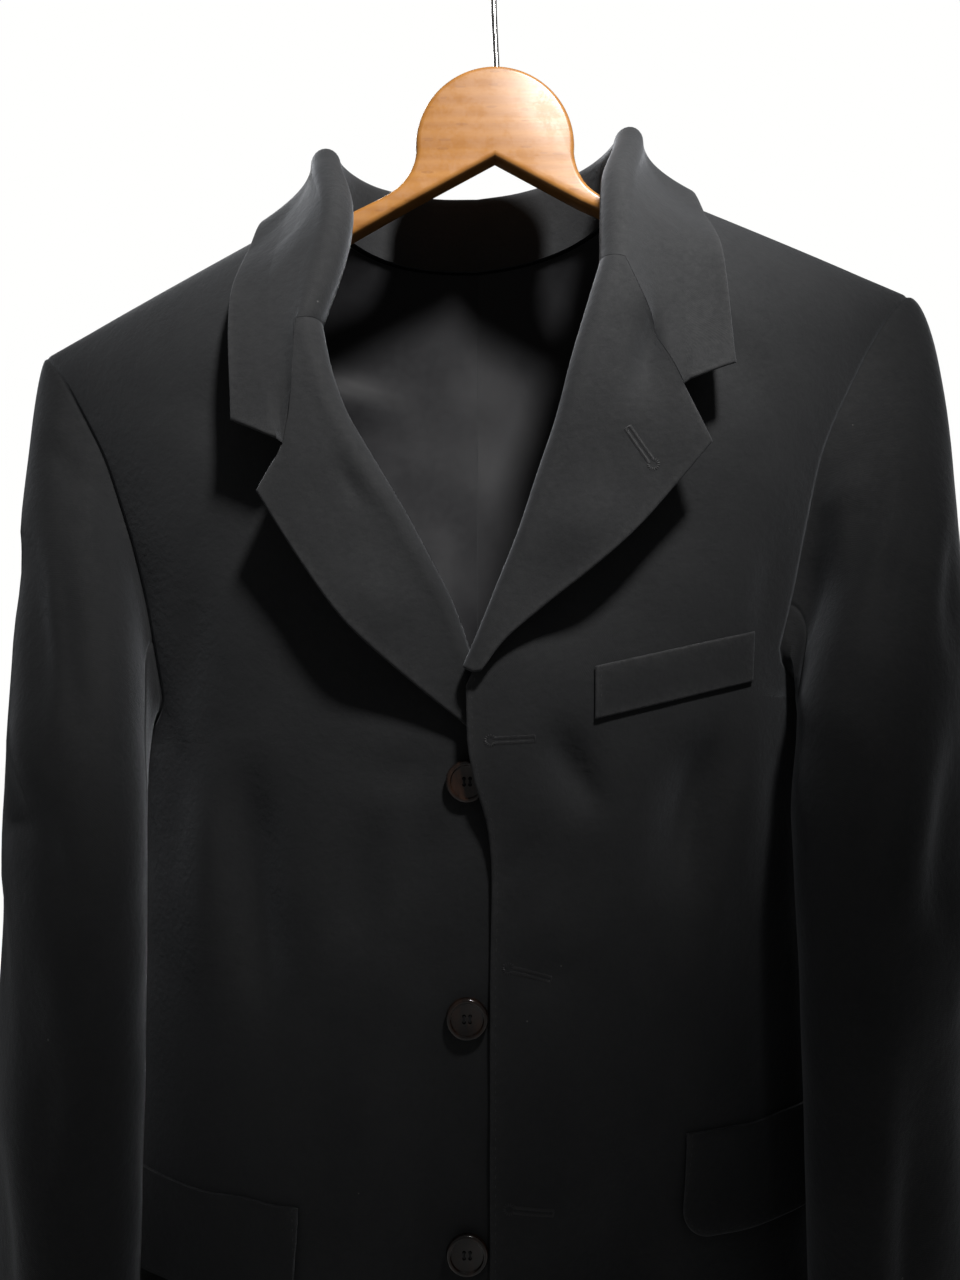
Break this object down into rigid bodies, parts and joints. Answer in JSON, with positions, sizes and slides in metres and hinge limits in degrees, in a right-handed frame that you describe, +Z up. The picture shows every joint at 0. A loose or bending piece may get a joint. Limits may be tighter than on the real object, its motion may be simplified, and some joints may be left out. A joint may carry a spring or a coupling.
{
  "type": "blazer on a hanger",
  "caption": "Single-breasted notch-lapel blazer hanging open at the neck on a wooden hanger with a wire hook, hollow, with sleeves down.",
  "frame": {"origin": "inside top of the hook's crook, where a rail holds it", "axes": "+Z up, +X towards the wearer's left, which is the right of a viewer in front, -Y towards the front"},
  "size_m": [0.4873, 0.1891, 0.943],
  "materials": {
    "wool_black": "fine matt wool suiting, black to charcoal",
    "button_horn": "polished very dark brown",
    "hanger_wood": "smooth light varnished beech",
    "hook_steel": "polished bent wire"
  },
  "bodies": {
    "root": {"front_left": "wool_black", "front_right": "wool_black", "back_left": "wool_black", "back_right": "wool_black", "sleeve_top_left": "wool_black", "sleeve_top_right": "wool_black", "sleeve_under_left": "wool_black", "sleeve_under_right": "wool_black", "lapel_left": "wool_black", "lapel_right": "wool_black", "collar": "wool_black", "chest_welt": "wool_black", "flap_left": "wool_black", "flap_right": "wool_black", "button_1": "button_horn", "button_2": "button_horn", "button_3": "button_horn", "hanger_board": "hanger_wood", "hanger_hook": "hook_steel"}
  },
  "joints": []
}
